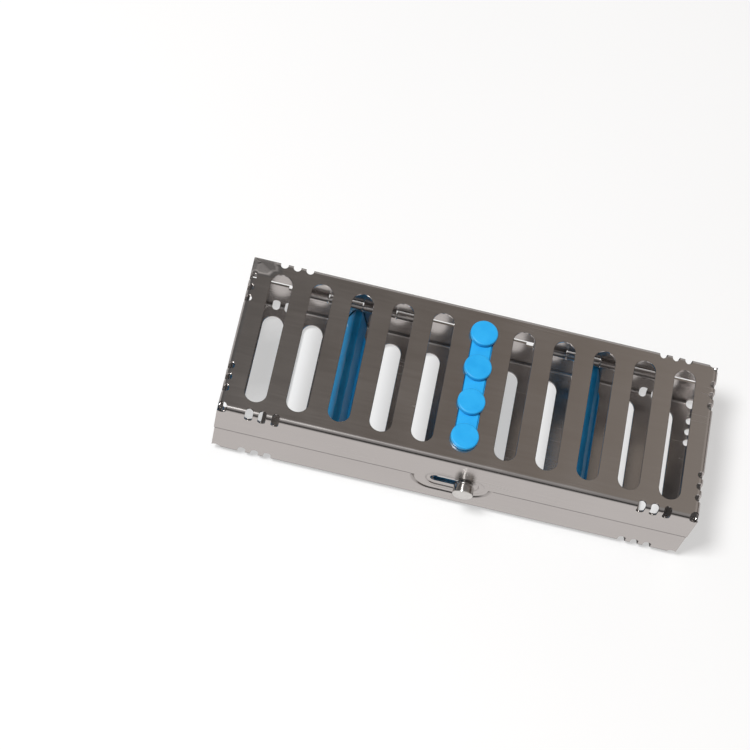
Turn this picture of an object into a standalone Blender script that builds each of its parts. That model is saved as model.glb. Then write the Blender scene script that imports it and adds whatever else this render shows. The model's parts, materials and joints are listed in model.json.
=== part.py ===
"""Sterilising cassette for five dental instruments.

Two folded sheet-steel trays, a base and a lid, meet at a parting line half way up. Two pairs of rolled
knuckles with plain pins join them at the back (+Y), and a sliding button latch holds them at the front
(-Y). Silicone rails in three of the plate slots carry the instruments. Metres, +Z up, the origin under
the middle of the bounding box.
"""

import math

import bmesh
import bpy
from mathutils import Matrix, Vector

# Driving dimensions
LENGTH = 0.180
WIDTH = 0.065
CASE_HEIGHT = 0.0342
SHEET = 0.0008
BEND_RADIUS = 0.0020
BASE_INSET = 0.0003  # the base is this much shorter than the lid at each end
PART_GAP = 0.0003  # between the two tray edges

SLOT_COUNT = 11
SLOT_PITCH = 0.01555
SLOT_WIDTH = 0.00818
SLOT_LENGTH = 0.0540

NOTCH_WIDTH = 0.0029
NOTCH_ON_PLATE = 0.0027
NOTCH_ON_WALL = 0.0050
NOTCH_STEP = 0.00004  # the wall part of a notch is this much narrower than the plate part
NOTCH_SEGMENTS = 12
LONG_EDGE_NOTCHES = (0.0685, 0.0734, 0.0783)
SHORT_EDGE_NOTCHES = (0.0144, 0.0191, 0.0238)
RELIEF_RADIUS = 0.00213
RELIEF_INWARD = (0.00147, 0.00111, 0.00113)  # from the outer corner to the middle of the relief
SEAM_GAP = 0.0003

DISC_RADIUS = 0.0052
DISC_PROUD = 0.0020
DISC_PITCH = 0.0145
RAIL_GAP = 0.0003
RAIL_NECK_WIDTH = 0.0076
RAIL_NECK_RECESS = 0.0004
RAIL_FLANGE_WIDTH = 0.0106
RAIL_FLANGE_LENGTH = 0.0580
RAIL_FLANGE_THICKNESS = 0.0012
RAIL_HEIGHT = 0.0132  # from the outer face of the plate
RIDGE_FOOT_WIDTH = 0.0092
RIDGE_TOP_WIDTH = 0.0027
BASE_RIDGE_LENGTH = 0.0622  # from wall to wall
LID_RIDGE_LENGTH = 0.0576  # clear of the latch
RIDGE_END_TAPER = 0.0004
VALLEY_COUNT = 5
VALLEY_PITCH = 0.0125
VALLEY_DEPTH = 0.0012
VALLEY_RADIUS = 0.0060
BASE_RAIL_SLOT = 3  # slots counted from the middle one

KNUCKLE_RADIUS = 0.00175
KNUCKLE_WIDTH = 0.0132
KNUCKLE_COUNT = 4  # of each hinge, turn about on the lid and on the base
KNUCKLE_GAP = 0.0003
HINGE_INSET = 0.0018  # from the back wall's outer face in to the hinge axis
BACK_GAP = 0.0020  # the room that each back wall leaves for the other's as the lid opens
TONGUE_INSET = 0.00025  # at each end of a knuckle, the wall that carries it is this much narrower
END_ROOM = 0.0026  # that the base's edge leaves beside the first knuckle of a hinge
CORNER_ROOM = 0.0006  # that the lid's end walls leave past the axis
HINGE_STARTS = (-0.0723, 0.0210)
BORE_RADIUS = 0.00090
PIN_RADIUS = 0.00080

LATCH_DROP = 0.0002  # from the parting line down to the middle of the latch
LOBE_LENGTH = 0.0280
LOBE_HEIGHT = 0.0150
DISH_X = 0.00035
DISH_LENGTH = 0.0199
DISH_HEIGHT = 0.0093
DISH_DEPTH = 0.0005
POCKET_DEPTH = 0.0016
POCKET_MARGIN = 0.0019  # on the wall's outer face; the pocket's floor is as large as the lobe
POCKET_SLOPE = 0.0020
TAB_LENGTH = 0.0240
TAB_HEIGHT = 0.0116
BUTTON_X = 0.0049
LATCH_TRAVEL = 0.0108
BUTTON_RADIUS = 0.0039
BUTTON_PROUD = 0.0040
SHANK_RADIUS = 0.0020
LATCH_SLOT_WIDTH = 0.0044
BASE_SLOT_WIDTH = 0.0048
WASHER_RADIUS = 0.0032
WASHER_THICKNESS = 0.0005
RETAINER_RADIUS = 0.0031
RETAINER_THICKNESS = 0.0012
RETAINER_GAP = 0.0005
SHANK_END = 0.0003  # past the retainer
BUTTON_CHAMFER = 0.0004
SHANK_FIT = 0.0001  # between the shank and the rings on it

ROUND_SEGMENTS = 16
LOBE_SEGMENTS = 24
BEND_SEGMENTS = 3

# Derived places
BASE_Z = DISC_PROUD
TOP_Z = BASE_Z + CASE_HEIGHT
PART_Z = BASE_Z + CASE_HEIGHT / 2
LATCH_Z = PART_Z - LATCH_DROP
CASE_Y = BUTTON_PROUD / 2  # only the button reaches past the walls, and the origin is in the middle
FRONT_Y = CASE_Y - WIDTH / 2
BACK_Y = CASE_Y + WIDTH / 2
HINGE_AXIS = Vector((0, BACK_Y - HINGE_INSET, PART_Z))
TRAY_HEIGHT = CASE_HEIGHT / 2 - PART_GAP / 2
POCKET_Y = FRONT_Y + POCKET_DEPTH
PAST = 0.001  # how far a cutter reaches past the face it opens
DISC_PLACES = [(i - 1.5) * DISC_PITCH for i in range(4)]

ALONG_Y = Matrix.Rotation(math.pi / 2, 4, "X")
ALONG_X = Matrix.Rotation(math.pi / 2, 4, "Y")
UPSIDE_DOWN = Matrix.Rotation(math.pi, 4, "X")
QUARTER_TURN = Matrix.Rotation(math.pi / 2, 4, "Z")

for old in list(bpy.data.objects):
    bpy.data.objects.remove(old, do_unlink=True)


def make_collection(name):
    collection = bpy.data.collections.new(name)
    bpy.context.scene.collection.children.link(collection)
    return collection


PARTS = make_collection("instrument_cassette")
CUTTERS = make_collection("cutters")
CUTTERS.hide_render = True


def make_material(name, colour, metallic, roughness):
    material = bpy.data.materials.new(name)
    material.use_nodes = True
    shader = material.node_tree.nodes["Principled BSDF"]
    shader.inputs["Base Color"].default_value = (*colour, 1)
    shader.inputs["Metallic"].default_value = metallic
    shader.inputs["Roughness"].default_value = roughness
    return material


def add_object(name, bm, collection, matrix=None):
    """A new object from bm, whose mesh is moved by matrix into world space."""
    bmesh.ops.transform(bm, matrix=matrix or Matrix(), verts=bm.verts)
    bmesh.ops.recalc_face_normals(bm, faces=bm.faces)
    mesh = bpy.data.meshes.new(name)
    bm.to_mesh(mesh)
    bm.free()
    obj = bpy.data.objects.new(name, mesh)
    collection.objects.link(obj)
    return obj


def helper(name, bm, matrix=None):
    """A cutter, or a shape to be joined to a part: it is never rendered."""
    obj = add_object(name, bm, CUTTERS, matrix)
    obj.hide_render = True
    obj.display_type = "WIRE"
    return obj


def combine(target, operation, *others):
    """Adds one exact Boolean to target for each of the other objects."""
    for other in others:
        modifier = target.modifiers.new(other.name, "BOOLEAN")
        modifier.operation = operation
        modifier.object = other
        modifier.solver = "EXACT"
    return target


def finish(obj, material, origin=None):
    """Gives obj its material, smooth round faces and, on a moving part, its origin on the joint."""
    obj.data.materials.append(material)
    obj.data.shade_smooth()
    obj.data.set_sharp_from_angle(angle=math.radians(40))
    if origin is not None:
        obj.data.transform(Matrix.Translation(-origin))
        obj.location = origin
    return obj


def box(size, centre=(0, 0, 0)):
    bm = bmesh.new()
    bmesh.ops.create_cube(bm, size=1, matrix=Matrix.Translation(centre) @ Matrix.Diagonal((*size, 1)))
    return bm


def cylinder(radius, depth, segments=ROUND_SEGMENTS, end_radius=None, turn=0.0):
    """A closed cylinder or cone about Z, with end_radius at its upper end."""
    bm = bmesh.new()
    upper = radius if end_radius is None else end_radius
    bmesh.ops.create_cone(
        bm, cap_ends=True, segments=segments, radius1=radius, radius2=upper, depth=depth,
        matrix=Matrix.Rotation(turn, 4, "Z"),
    )
    return bm


def stadium(length, width, depth, inset=0.0, segments=ROUND_SEGMENTS):
    """A round-ended prism, long side along X, which shrinks by inset all round at its upper end."""
    half_step = math.pi / segments
    true = 1 / math.cos(half_step)  # so that the flats of the faceted ends keep the true size
    bm = cylinder(width / 2 * true, depth, segments, (width / 2 - inset) * true, half_step)
    for vert in bm.verts:
        vert.co.x += math.copysign((length - width) / 2, vert.co.x)
    return bm


def merged(shapes):
    """One bmesh that holds all the (bmesh, matrix) shapes."""
    whole = bmesh.new()
    for bm, matrix in shapes:
        bmesh.ops.transform(bm, matrix=matrix, verts=bm.verts)
        mesh = bpy.data.meshes.new("piece")
        bm.to_mesh(mesh)
        bm.free()
        whole.from_mesh(mesh)
        bpy.data.meshes.remove(mesh)
    return whole


def folded_block(length, width, height, radius):
    """A block on z = 0 whose four lower edges are rounded, as sheet folds over a die."""
    bm = box((length, width, height), (0, 0, height / 2))
    low = [edge for edge in bm.edges if all(vert.co.z < height / 2 for vert in edge.verts)]
    bmesh.ops.bevel(bm, geom=low, offset=radius, segments=BEND_SEGMENTS, profile=0.5, affect="EDGES")
    return bm


def slot_shapes():
    """The eleven long slots of a plate that lies at z = 0."""
    for i in range(SLOT_COUNT):
        x = (i - (SLOT_COUNT - 1) / 2) * SLOT_PITCH
        yield stadium(SLOT_LENGTH, SLOT_WIDTH, 4 * SHEET), Matrix.Translation((x, 0, 0)) @ QUARTER_TURN


def notch_places(length):
    """Where the bends are pierced, three times near each end of each edge: +Y is inward, z = 0 the plate."""
    edges = [(0, WIDTH / 2, LONG_EDGE_NOTCHES), (math.pi, WIDTH / 2, LONG_EDGE_NOTCHES)]
    edges += [(math.pi / 2, length / 2, SHORT_EDGE_NOTCHES), (-math.pi / 2, length / 2, SHORT_EDGE_NOTCHES)]
    for turn, reach, places in edges:
        for place in places:
            for side in (-1, 1):
                yield Matrix.Rotation(turn, 4, "Z") @ Matrix.Translation((side * place, -reach, 0))


def plate_notch_shapes(length):
    """The upright, round-ended cuts through the plate and its bends."""
    run = NOTCH_ON_PLATE + 2 * PAST
    high = 1.1 * BEND_RADIUS
    middle = Matrix.Translation((0, NOTCH_ON_PLATE - run / 2, (high - PAST) / 2))
    for place in notch_places(length):
        shape = stadium(run, NOTCH_WIDTH, high + PAST, 0, NOTCH_SEGMENTS)
        yield shape, place @ middle @ QUARTER_TURN


def wall_notch_shapes(length):
    """The level, round-ended cuts that carry the notches down the walls."""
    run = NOTCH_ON_WALL + PAST
    depth = BEND_RADIUS / 2 + PAST
    middle = Matrix.Translation((0, depth / 2 - PAST, NOTCH_ON_WALL - run / 2))
    for place in notch_places(length):
        shape = stadium(run, NOTCH_WIDTH - NOTCH_STEP, depth, 0, NOTCH_SEGMENTS)
        yield shape, place @ middle @ ALONG_Y @ QUARTER_TURN


def corner_shapes(length):
    """The round bites where three faces meet."""
    for sx in (-1, 1):
        for sy in (-1, 1):
            ball = bmesh.new()
            bmesh.ops.create_uvsphere(ball, u_segments=12, v_segments=8, radius=RELIEF_RADIUS)
            in_x, in_y, in_z = RELIEF_INWARD
            yield ball, Matrix.Translation((sx * (length / 2 - in_x), sy * (WIDTH / 2 - in_y), in_z))


def seam_shapes(length):
    """The thin open seams between the end walls and the long walls."""
    for sx in (-1, 1):
        for sy in (-1, 1):
            x = sx * (length / 2 - SHEET / 2 + PAST / 2)
            y = sy * (WIDTH / 2 - SHEET - SEAM_GAP / 2)
            size = (SHEET + PAST + SEAM_GAP, SEAM_GAP, TRAY_HEIGHT)
            yield box(size, (x, y, TRAY_HEIGHT / 2 + RELIEF_RADIUS)), Matrix()


def tray(name, length, place, extra_height):
    """A folded tray with every opening of its plate and bends. place turns and lifts it."""
    height = TRAY_HEIGHT + extra_height
    shell = add_object(name, folded_block(length, WIDTH, height, BEND_RADIUS), PARTS, place)
    inner = folded_block(length - 2 * SHEET, WIDTH - 2 * SHEET, height, BEND_RADIUS - SHEET)
    combine(
        shell,
        "DIFFERENCE",
        helper(name + "_inside", inner, place @ Matrix.Translation((0, 0, SHEET))),
        helper(name + "_slots", merged(slot_shapes()), place),
        helper(name + "_plate_notches", merged(plate_notch_shapes(length)), place),
        helper(name + "_wall_notches", merged(wall_notch_shapes(length)), place),
        helper(name + "_corners", merged(corner_shapes(length)), place),
        helper(name + "_seams", merged(seam_shapes(length)), place),
    )
    return shell


def front_stadium(length, height, y_start, y_end, inset=0.0, x=0.0):
    """A round-ended prism through the front wall, at the latch's height, narrower by inset at y_end."""
    middle = Matrix.Translation((x, (y_start + y_end) / 2, LATCH_Z))
    return stadium(length, height, y_end - y_start, inset, LOBE_SEGMENTS), middle @ ALONG_Y.inverted()


def all_but_stadium(name, low, high, length, height):
    """A cutter from z = low to z = high that spares a round-ended tongue of the front wall."""
    size = (LENGTH + 4 * PAST, WIDTH + 4 * PAST, high - low)
    block = helper(name, box(size, (0, CASE_Y, (low + high) / 2)))
    spared = merged([front_stadium(length, height, FRONT_Y - 4 * PAST, FRONT_Y + 4 * PAST)])
    return combine(block, "DIFFERENCE", helper(name + "_spared", spared))


def knuckle(start, end, radius, segments=20):
    place = Matrix.Translation(((start + end) / 2, HINGE_AXIS.y, HINGE_AXIS.z))
    return cylinder(radius, end - start, segments), place @ ALONG_X


def hinge_spans(owner):
    """Start and end in X of the knuckles of one owner. The lid has the first and the third of each hinge."""
    for start in HINGE_STARTS:
        for i in range(KNUCKLE_COUNT):
            if (i % 2 == 1) == (owner == "base"):
                yield start + i * KNUCKLE_WIDTH, start + (i + 1) * KNUCKLE_WIDTH


def back_edge_gaps(owner):
    """Start and end in X of what is cut from the edge of owner's back wall.

    The lid keeps only the tongues that carry its knuckles. The base is cut only under the lid's knuckles.
    """
    gaps = []
    if owner == "base":
        for a, b in hinge_spans("lid"):
            room = END_ROOM if a in HINGE_STARTS else TONGUE_INSET
            gaps.append((a - room, b + TONGUE_INSET))
        return gaps
    ends = [-LENGTH]
    for a, b in hinge_spans("lid"):
        ends += [a + TONGUE_INSET, b - TONGUE_INSET]
    ends.append(LENGTH)
    return list(zip(ends[::2], ends[1::2]))


def add_knuckles(shell, owner):
    """Trims the back wall's edge, then rolls this tray's own knuckles from what is left of it."""
    depth = HINGE_INSET + CORNER_ROOM + PAST
    gaps = []
    for a, b in back_edge_gaps(owner):
        centre = Matrix.Translation(((a + b) / 2, BACK_Y + PAST - depth / 2, PART_Z))
        gaps.append((box((b - a, depth, 2 * BACK_GAP)), centre))
    own = [knuckle(a + KNUCKLE_GAP / 2, b - KNUCKLE_GAP / 2, KNUCKLE_RADIUS) for a, b in hinge_spans(owner)]
    bores = []
    for start in HINGE_STARTS:
        bores.append(knuckle(start - PAST, start + KNUCKLE_COUNT * KNUCKLE_WIDTH + PAST, BORE_RADIUS, 16))
    combine(shell, "DIFFERENCE", helper(owner + "_back_gaps", merged(gaps)))
    combine(shell, "UNION", helper(owner + "_knuckles", merged(own)))
    combine(shell, "DIFFERENCE", helper(owner + "_bores", merged(bores)))


def base_shell():
    place = Matrix.Translation((0, CASE_Y, BASE_Z))
    shell = tray("base_shell", LENGTH - 2 * BASE_INSET, place, PAST)
    flare = POCKET_MARGIN * (1 + PAST / POCKET_DEPTH)
    mouth = [side + 2 * flare for side in (LOBE_LENGTH, LOBE_HEIGHT)]
    pad_size = [side + 2 * (POCKET_MARGIN + SHEET) for side in (LOBE_LENGTH, LOBE_HEIGHT)]
    pad = front_stadium(*pad_size, FRONT_Y + SHEET / 2, POCKET_Y + SHEET, POCKET_SLOPE)
    pocket = front_stadium(*mouth, FRONT_Y - PAST, POCKET_Y, flare)
    edge = PART_Z - PART_GAP / 2
    above = all_but_stadium("base_above_edge", edge, TOP_Z, TAB_LENGTH, TAB_HEIGHT)
    combine(shell, "UNION", helper("base_pocket_pad", merged([pad])))
    combine(shell, "DIFFERENCE", helper("base_pocket", merged([pocket])), above)
    run_length = LATCH_TRAVEL + BASE_SLOT_WIDTH
    run = front_stadium(
        run_length, BASE_SLOT_WIDTH, FRONT_Y - PAST, POCKET_Y + 2 * SHEET, x=BUTTON_X - LATCH_TRAVEL / 2
    )
    combine(shell, "DIFFERENCE", helper("base_latch_run", merged([run])))
    entry_size = (BASE_SLOT_WIDTH, 4 * SHEET, TAB_HEIGHT)
    entry = box(entry_size, (BUTTON_X, POCKET_Y + SHEET / 2, LATCH_Z + TAB_HEIGHT / 2))
    combine(shell, "DIFFERENCE", helper("base_latch_entry", entry))
    add_knuckles(shell, "base")
    return finish(shell, TRAY_STEEL)


def lid_shell():
    place = Matrix.Translation((0, CASE_Y, TOP_Z)) @ UPSIDE_DOWN
    shell = tray("lid_shell", LENGTH, place, LOBE_HEIGHT)
    edge = PART_Z + PART_GAP / 2
    below = all_but_stadium("lid_below_edge", BASE_Z - 2 * PAST, edge, LOBE_LENGTH, LOBE_HEIGHT)
    dish_bottom = FRONT_Y + DISH_DEPTH
    pad_size = (DISH_LENGTH + SHEET, DISH_HEIGHT + SHEET)
    pad = front_stadium(*pad_size, FRONT_Y + SHEET / 2, dish_bottom + SHEET, SHEET / 2, DISH_X)
    mouth = (DISH_LENGTH + 2 * PAST, DISH_HEIGHT + 2 * PAST)
    dish = front_stadium(*mouth, FRONT_Y - PAST, dish_bottom, PAST + DISH_DEPTH, DISH_X)
    slot_length = LATCH_TRAVEL + LATCH_SLOT_WIDTH
    slot = front_stadium(
        slot_length, LATCH_SLOT_WIDTH, FRONT_Y - PAST, FRONT_Y + 3 * SHEET, x=BUTTON_X - LATCH_TRAVEL / 2
    )
    combine(shell, "DIFFERENCE", below)
    combine(shell, "UNION", helper("lid_dish_pad", merged([pad])))
    combine(shell, "DIFFERENCE", helper("lid_dish", merged([dish])), helper("lid_latch_slot", merged([slot])))
    add_knuckles(shell, "lid")
    return finish(shell, TRAY_STEEL, HINGE_AXIS)


def rail(name, x, place, ridge_length, origin=None):
    """A silicone rail: a ridge with five valleys inside, a neck through the slot and four discs outside.

    It is drawn on a plate whose outer face is z = 0, ridge up. place turns it and lifts it to its tray.
    """
    here = place @ Matrix.Translation((x, 0, 0))
    body = add_object(name, ridge(ridge_length), PARTS, here)

    foot_z = SHEET + RAIL_GAP
    flange = stadium(RAIL_FLANGE_LENGTH, RAIL_FLANGE_WIDTH, RAIL_FLANGE_THICKNESS)
    flange_place = Matrix.Translation((0, 0, foot_z + RAIL_FLANGE_THICKNESS / 2)) @ QUARTER_TURN
    neck_top = foot_z + RAIL_FLANGE_THICKNESS / 2
    neck_length = SLOT_LENGTH - (SLOT_WIDTH - RAIL_NECK_WIDTH)
    neck = stadium(neck_length, RAIL_NECK_WIDTH, neck_top - RAIL_NECK_RECESS)
    neck_place = Matrix.Translation((0, 0, (RAIL_NECK_RECESS + neck_top) / 2)) @ QUARTER_TURN
    stem_low = -DISC_PROUD / 2
    stem_top = neck_top - RAIL_GAP / 2
    stems = []
    discs = []
    for y in DISC_PLACES:
        stem = cylinder(RAIL_NECK_WIDTH / 2 - RAIL_GAP / 2, stem_top - stem_low)
        stems.append((stem, Matrix.Translation((0, y, (stem_top + stem_low) / 2))))
        disc_place = Matrix.Translation((0, y, -(DISC_PROUD + RAIL_GAP) / 2))
        discs.append((rounded_disc(DISC_RADIUS, DISC_PROUD - RAIL_GAP), disc_place))
    valleys = []
    for i in range(VALLEY_COUNT):
        y = (i - (VALLEY_COUNT - 1) / 2) * VALLEY_PITCH
        centre = Matrix.Translation((0, y, RAIL_HEIGHT - VALLEY_DEPTH + VALLEY_RADIUS))
        valleys.append((cylinder(VALLEY_RADIUS, 2 * RIDGE_FOOT_WIDTH, 24), centre @ ALONG_X))
    combine(
        body,
        "UNION",
        helper(name + "_flange", flange, here @ flange_place),
        helper(name + "_neck", neck, here @ neck_place),
        helper(name + "_stems", merged(stems), here),
        helper(name + "_discs", merged(discs), here),
    )
    combine(body, "DIFFERENCE", helper(name + "_valleys", merged(valleys), here))
    return finish(body, SILICONE, origin)


def ridge(length):
    """The tapered ridge of a rail, with a rounded crest. Its foot is inside the flange."""
    foot_z = SHEET + RAIL_GAP + RAIL_FLANGE_THICKNESS / 4
    bm = box((RIDGE_FOOT_WIDTH, length, RAIL_HEIGHT - foot_z), (0, 0, (RAIL_HEIGHT + foot_z) / 2))
    top = [vert for vert in bm.verts if vert.co.z > RAIL_HEIGHT / 2]
    taper = (RIDGE_TOP_WIDTH / RIDGE_FOOT_WIDTH, 1 - 2 * RIDGE_END_TAPER / length, 1)
    bmesh.ops.scale(bm, vec=taper, verts=top)
    crest = [edge for edge in bm.edges if all(vert in top for vert in edge.verts)]
    bmesh.ops.bevel(bm, geom=crest, offset=RIDGE_TOP_WIDTH / 4, segments=2, profile=0.5, affect="EDGES")
    return bm


def rounded_disc(radius, thickness, segments=24):
    """A disc about Z whose lower rim is rounded."""
    bm = cylinder(radius, thickness, segments)
    low = [edge for edge in bm.edges if all(vert.co.z < 0 for vert in edge.verts)]
    bmesh.ops.bevel(bm, geom=low, offset=thickness / 3, segments=2, profile=0.5, affect="EDGES")
    return bm


def hinge_pin(name, start):
    a = start + KNUCKLE_GAP
    b = start + KNUCKLE_COUNT * KNUCKLE_WIDTH - KNUCKLE_GAP
    bm, place = knuckle(a, b, PIN_RADIUS, 16)
    return finish(add_object(name, bm, PARTS, place), POLISHED_STEEL, HINGE_AXIS)


def turned_piece(name, profile, material):
    """A piece turned about the button's axis. profile lists (distance from axis, world y), front to back."""
    bm = bmesh.new()
    verts = [bm.verts.new((radius, 0, -y)) for radius, y in profile]
    for first, second in zip(verts, verts[1:]):
        bm.edges.new((first, second))
    if profile[0][0] > 0:
        bm.edges.new((verts[-1], verts[0]))
    mesh = bpy.data.meshes.new(name)
    bm.to_mesh(mesh)
    bm.free()
    obj = bpy.data.objects.new(name, mesh)
    PARTS.objects.link(obj)
    obj.matrix_world = Matrix.Translation((BUTTON_X, 0, LATCH_Z)) @ ALONG_Y
    screw = obj.modifiers.new("turn", "SCREW")
    screw.steps = LOBE_SEGMENTS
    screw.render_steps = LOBE_SEGMENTS
    screw.use_merge_vertices = True
    screw.merge_threshold = 0.00001
    obj.data.materials.append(material)
    return obj


def ring(outer, y_start, y_end):
    """The profile of a flat ring on the shank."""
    inner = SHANK_RADIUS + SHANK_FIT
    return [(inner, y_start), (outer, y_start), (outer, y_end), (inner, y_end)]


def latch_pieces():
    """The button with its shank, the washer under its head and the collar behind the base wall."""
    end_y = FRONT_Y - BUTTON_PROUD
    washer_y = FRONT_Y + DISH_DEPTH - PART_GAP
    head_y = washer_y - WASHER_THICKNESS - PART_GAP
    collar_y = POCKET_Y + SHEET + RETAINER_GAP
    collar_end = collar_y + RETAINER_THICKNESS
    button = [
        (0, end_y),
        (BUTTON_RADIUS - BUTTON_CHAMFER, end_y),
        (BUTTON_RADIUS, end_y + BUTTON_CHAMFER),
        (BUTTON_RADIUS, head_y - BUTTON_CHAMFER),
        (BUTTON_RADIUS - BUTTON_CHAMFER, head_y),
        (SHANK_RADIUS, head_y),
        (SHANK_RADIUS, collar_end + SHANK_END),
        (0, collar_end + SHANK_END),
    ]
    turned_piece("latch_button", button, POLISHED_STEEL)
    turned_piece("latch_washer", ring(WASHER_RADIUS, washer_y - WASHER_THICKNESS, washer_y), POLISHED_STEEL)
    turned_piece("latch_retainer", ring(RETAINER_RADIUS, collar_y, collar_end), POLISHED_STEEL)


TRAY_STEEL = make_material("brushed_stainless", (0.42, 0.40, 0.38), 1.0, 0.32)
POLISHED_STEEL = make_material("polished_stainless", (0.62, 0.61, 0.59), 1.0, 0.12)
SILICONE = make_material("blue_silicone", (0.04, 0.376, 0.745), 0.0, 0.42)

BASE_PLACE = Matrix.Translation((0, CASE_Y, BASE_Z))
LID_PLACE = Matrix.Translation((0, CASE_Y, TOP_Z)) @ UPSIDE_DOWN
RAIL_X = BASE_RAIL_SLOT * SLOT_PITCH

base_shell()
lid_shell()
rail("base_rail_left", -RAIL_X, BASE_PLACE, BASE_RIDGE_LENGTH)
rail("base_rail_right", RAIL_X, BASE_PLACE, BASE_RIDGE_LENGTH)
rail("lid_rail", 0, LID_PLACE, LID_RIDGE_LENGTH, HINGE_AXIS)
hinge_pin("hinge_pin_left", HINGE_STARTS[0])
hinge_pin("hinge_pin_right", HINGE_STARTS[1])
latch_pieces()
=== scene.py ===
"""Looks of the instrument cassette: folded trays, silicone rails and turned latch parts on the frame."""

import json
import math

import bmesh
import bpy
from mathutils import Euler, Matrix, Vector


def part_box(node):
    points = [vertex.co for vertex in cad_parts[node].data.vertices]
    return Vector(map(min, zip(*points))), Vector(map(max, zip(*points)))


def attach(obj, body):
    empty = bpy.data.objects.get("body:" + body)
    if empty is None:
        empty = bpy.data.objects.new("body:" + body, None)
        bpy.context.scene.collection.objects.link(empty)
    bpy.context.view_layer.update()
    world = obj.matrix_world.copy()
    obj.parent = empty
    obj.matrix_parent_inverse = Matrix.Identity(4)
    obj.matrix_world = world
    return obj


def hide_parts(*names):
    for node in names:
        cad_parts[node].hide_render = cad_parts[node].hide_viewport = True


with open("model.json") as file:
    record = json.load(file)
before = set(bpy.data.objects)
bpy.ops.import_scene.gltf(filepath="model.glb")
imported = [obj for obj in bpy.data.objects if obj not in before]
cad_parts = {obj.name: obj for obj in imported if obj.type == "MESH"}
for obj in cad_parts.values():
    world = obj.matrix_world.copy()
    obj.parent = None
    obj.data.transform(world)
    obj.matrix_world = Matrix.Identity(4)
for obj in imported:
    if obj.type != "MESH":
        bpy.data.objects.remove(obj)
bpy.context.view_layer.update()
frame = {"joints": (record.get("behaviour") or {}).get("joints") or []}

# The frame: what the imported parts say
LID_LOW, LID_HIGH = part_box("lid_shell")
BASE_LOW, BASE_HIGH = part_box("base_shell")
RAIL_LOW, RAIL_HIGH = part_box("lid_rail")
BUTTON_LOW, BUTTON_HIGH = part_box("latch_button")
WASHER_LOW, WASHER_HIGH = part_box("latch_washer")
RETAINER_LOW, RETAINER_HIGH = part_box("latch_retainer")
JOINTS = {joint["name"]: joint for joint in frame["joints"]}
HINGE = Vector(JOINTS["lid_hinge"]["pos_m"])
LATCH_TRAVEL = JOINTS["latch_slide"]["range_m"][1]
BUTTON_X = (BUTTON_LOW.x + BUTTON_HIGH.x) / 2
LATCH_Z = (BUTTON_LOW.z + BUTTON_HIGH.z) / 2
BASE_Z = BASE_LOW.z
TOP_Z = LID_HIGH.z
PART_Z = HINGE.z
FRONT_Y = LID_LOW.y
HINGE_INSET = 0.0018  # from the back wall's outer face in to the hinge axis
BACK_Y = HINGE.y + HINGE_INSET
CASE_Y = (FRONT_Y + BACK_Y) / 2
WIDTH = BACK_Y - FRONT_Y
LENGTH = LID_HIGH.x - LID_LOW.x
BASE_LENGTH = BASE_HIGH.x - BASE_LOW.x

# Sheet metal
SHEET = 0.0008
BEND_RADIUS = 0.0020
BEND_SEGMENTS = 8
PART_GAP = 0.0003  # between the two trays, and under the button's head
BEND_TOLERANCE = 0.00003  # a vertex this near a bend or a face of the sheet lies on it
EDGE = 0.00012  # the broken edge of a punched opening
TRAY_HEIGHT = PART_Z - BASE_Z - PART_GAP / 2
SLOT_COUNT = 11
RAIL_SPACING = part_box("base_rail_right")[1].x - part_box("base_rail_left")[1].x
SLOT_PITCH = RAIL_SPACING / 6  # the base rails stand six slots apart
SLOT_WIDTH = 0.00818
SLOT_LENGTH = 0.0540
NOTCH_WIDTH = 0.0029
NOTCH_ON_PLATE = 0.0027
NOTCH_ON_WALL = 0.0050
NOTCH_STEP = 0.00004  # the wall part of a notch is this much narrower than the plate part
LONG_EDGE_NOTCHES = (0.0685, 0.0734, 0.0783)
SHORT_EDGE_NOTCHES = (0.0144, 0.0191, 0.0238)
RELIEF_RADIUS = 0.00213  # of the bite at each corner
RELIEF_INWARD = (0.00147, 0.00111, 0.00113)  # from the corner to the middle of its bite
SEAM_GAP = 0.0003
PAST = 0.001  # how far a cutter runs past what it cuts

# Latch
LOBE_LENGTH = 0.0280
LOBE_HEIGHT = 0.0150
DISH_X = 0.00035
DISH_LENGTH = 0.0199
DISH_HEIGHT = 0.0093
DISH_DEPTH = 0.0005
DISH_EDGE = 0.0003  # how far the dish's slope reaches either side of its outline
DISH_PAD = 0.0004  # how far the dish's raised back spreads past that slope
RIM_DEPTH = 0.0001  # of the shallow pressing round the dish
RIM_MARGIN = 0.0012
RIM_X = 0.0009  # how far that pressing sits to the right of the dish
POCKET_DEPTH = 0.0016
POCKET_MARGIN = 0.0019
PAD_SLOPE = 0.0020
TAB_LENGTH = 0.0240
TAB_HEIGHT = 0.0116
LATCH_SLOT_WIDTH = 0.0044
BASE_SLOT_WIDTH = 0.0048
SHANK_RADIUS = 0.0020
SHANK_FIT = 0.0001
BUTTON_ROUND = 0.00035
RING_ROUND = 0.00012

# Hinges
KNUCKLE_RADIUS = 0.00175
KNUCKLE_WIDTH = 0.0132
KNUCKLE_COUNT = 4
KNUCKLE_GAP = 0.0003
KNUCKLE_CHAMFER = 0.0002
BACK_GAP = 0.0020  # the room that each back wall leaves for the other's as the lid opens
TONGUE_INSET = 0.00025  # at each end of a knuckle, the wall that carries it is this much narrower
END_ROOM = 0.0026  # that the base's edge leaves beside the first knuckle of a hinge
CORNER_ROOM = 0.0006  # that the lid's end walls leave past the axis
BORE_RADIUS = 0.0009
PIN_RADIUS = 0.0008
PIN_ROUND = 0.0003
PIN_BOXES = {name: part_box(name) for name in ("hinge_pin_left", "hinge_pin_right")}
HINGE_STARTS = [low.x - KNUCKLE_GAP for low, high in PIN_BOXES.values()]

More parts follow.
